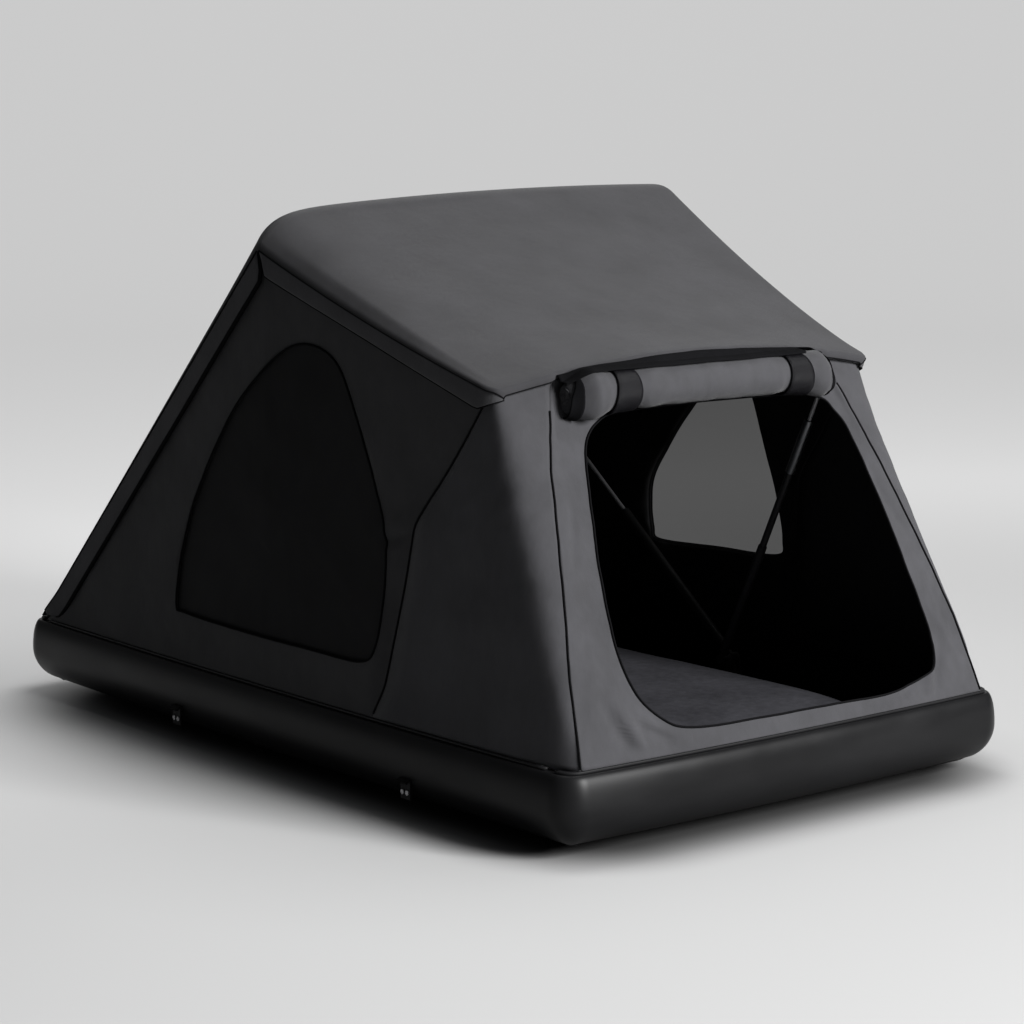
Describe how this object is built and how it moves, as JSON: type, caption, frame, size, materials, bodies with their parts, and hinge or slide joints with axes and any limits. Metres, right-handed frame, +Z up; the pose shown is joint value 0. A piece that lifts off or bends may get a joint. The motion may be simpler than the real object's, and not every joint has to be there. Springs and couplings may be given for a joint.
{
  "type": "roof top tent",
  "caption": "Folding two-person roof top tent: moulded tray, hinged frame on gas struts, fabric walls with mesh windows and a rolled-up door.",
  "frame": {"origin": "bottom centre of the part, at the underside of the mounting rails", "axes": "+Z up, +Y from the door end to the hinge end along the tray, +X to the right seen from the door"},
  "size_m": [1.371, 2.224, 1.3039],
  "materials": {
    "moulded_hull": "satin moulded black plastic",
    "rim_plastic": "black extruded plastic",
    "floor_board": "grey foam-cored board",
    "mattress_cloth": "dark grey woven cover on foam",
    "wall_cloth": "dark grey canvas, matt",
    "cover_cloth": "dark grey coated canvas, matt",
    "insect_mesh": "fine black mesh",
    "piping": "black piping",
    "webbing": "black woven webbing",
    "black_metal": "black powder coat",
    "rail_aluminium": "mill finish",
    "collar_aluminium": "brushed",
    "rod_chrome": "polished rod",
    "steel": "zinc plated"
  },
  "bodies": {
    "tray": {"hull_tray": "moulded_hull", "floor_panel": "floor_board", "mattress": "mattress_cloth", "left_mounting_rail": "rail_aluminium", "right_mounting_rail": "rail_aluminium", "rail_bolts": "steel", "left_rim_rail": "rim_plastic", "right_rim_rail": "rim_plastic", "front_rim_rail": "rim_plastic", "rear_rim_rail": "rim_plastic", "strap_hooks": "rim_plastic", "hook_screws": "steel", "left_hinge_bracket": "black_metal", "right_hinge_bracket": "black_metal", "hinge_screws": "steel", "hinge_pins": "steel", "left_strut_bracket": "black_metal", "right_strut_bracket": "black_metal", "strut_pins": "steel", "left_wall": "wall_cloth", "right_wall": "wall_cloth", "front_wall": "wall_cloth", "left_corner_panel": "wall_cloth", "right_corner_panel": "wall_cloth", "left_window_mesh": "insect_mesh", "right_window_mesh": "insect_mesh", "left_window_piping": "piping", "right_window_piping": "piping", "door_piping": "piping"},
    "rear_frame": {"left_rear_leg": "black_metal", "right_rear_leg": "black_metal", "ridge_bow": "black_metal", "back_cover": "cover_cloth", "ridge_strip": "cover_cloth", "ridge_pins": "steel", "left_rear_hem": "cover_cloth", "right_rear_hem": "cover_cloth"},
    "roof_frame": {"left_roof_rail": "black_metal", "right_roof_rail": "black_metal", "front_rail": "black_metal", "roof_cover": "cover_cloth", "front_flap": "webbing", "door_roll": "wall_cloth", "roll_straps": "webbing", "roll_end_loops": "webbing", "left_roof_hem": "cover_cloth", "right_roof_hem": "cover_cloth"},
    "left_strut_tube_body": {"left_strut_tube": "black_metal"},
    "left_strut_rod_body": {"left_strut_rod": "rod_chrome"},
    "left_stay_tube_body": {"left_stay_tube": "black_metal", "left_stay_collar": "collar_aluminium"},
    "left_stay_rod_body": {"left_stay_rod": "black_metal"},
    "right_strut_tube_body": {"right_strut_tube": "black_metal"},
    "right_strut_rod_body": {"right_strut_rod": "rod_chrome"},
    "right_stay_tube_body": {"right_stay_tube": "black_metal", "right_stay_collar": "collar_aluminium"},
    "right_stay_rod_body": {"right_stay_rod": "black_metal"}
  },
  "joints": [
    {"name": "rear_frame_fold", "type": "hinge", "parent": "tray", "child": "rear_frame", "pos_m": [0, 1.022, 0.207], "axis": [1, 0, 0], "range_deg": [0, 43.8], "deforming": ["left_wall", "right_wall", "front_wall", "left_corner_panel", "right_corner_panel", "left_window_mesh", "right_window_mesh", "left_window_piping", "right_window_piping", "door_piping", "ridge_strip", "left_rear_hem", "right_rear_hem", "left_roof_hem", "right_roof_hem"]},
    {"name": "roof_frame_fold", "type": "hinge", "parent": "rear_frame", "child": "roof_frame", "pos_m": [0, 0.03272, 1.17916], "axis": [1, 0, 0], "range_deg": [-62.55, 0]},
    {"name": "left_strut_pivot", "type": "hinge", "parent": "tray", "child": "left_strut_tube_body", "pos_m": [-0.55, -0.3, 0.15], "axis": [1, 0, 0], "range_deg": [-30.81, 0]},
    {"name": "left_strut_slide", "type": "slide", "parent": "left_strut_tube_body", "child": "left_strut_rod_body", "axis": [0, 0.7915, 0.6112], "range_m": [-0.42037, 0]},
    {"name": "left_stay_pivot", "type": "hinge", "parent": "roof_frame", "child": "left_stay_rod_body", "pos_m": [-0.509, -0.67179, 0.94001], "axis": [1, 0, 0], "range_deg": [0, 78.33]},
    {"name": "left_stay_slide", "type": "slide", "parent": "left_stay_rod_body", "child": "left_stay_tube_body", "axis": [0, -0.4258, 0.9048], "range_m": [0, 0.06091]},
    {"name": "right_strut_pivot", "type": "hinge", "parent": "tray", "child": "right_strut_tube_body", "pos_m": [0.55, -0.3, 0.15], "axis": [1, 0, 0], "range_deg": [-30.81, 0]},
    {"name": "right_strut_slide", "type": "slide", "parent": "right_strut_tube_body", "child": "right_strut_rod_body", "axis": [0, 0.7915, 0.6112], "range_m": [-0.42037, 0]},
    {"name": "right_stay_pivot", "type": "hinge", "parent": "roof_frame", "child": "right_stay_rod_body", "pos_m": [0.509, -0.67179, 0.94001], "axis": [1, 0, 0], "range_deg": [0, 78.33]},
    {"name": "right_stay_slide", "type": "slide", "parent": "right_stay_rod_body", "child": "right_stay_tube_body", "axis": [0, -0.4258, 0.9048], "range_m": [0, 0.06091]}
  ],
  "couplings": [
    {"joint": "roof_frame_fold", "follows": "rear_frame_fold", "ratio": -1.4281},
    {"joint": "left_strut_pivot", "follows": "rear_frame_fold", "ratio": -0.70351},
    {"joint": "left_strut_slide", "follows": "rear_frame_fold", "m_per_rad": -0.54983},
    {"joint": "left_stay_pivot", "follows": "rear_frame_fold", "ratio": 1.7882},
    {"joint": "left_stay_slide", "follows": "rear_frame_fold", "m_per_rad": 0.079607},
    {"joint": "right_strut_pivot", "follows": "rear_frame_fold", "ratio": -0.70351},
    {"joint": "right_strut_slide", "follows": "rear_frame_fold", "m_per_rad": -0.54983},
    {"joint": "right_stay_pivot", "follows": "rear_frame_fold", "ratio": 1.7882},
    {"joint": "right_stay_slide", "follows": "rear_frame_fold", "m_per_rad": 0.079607}
  ]
}
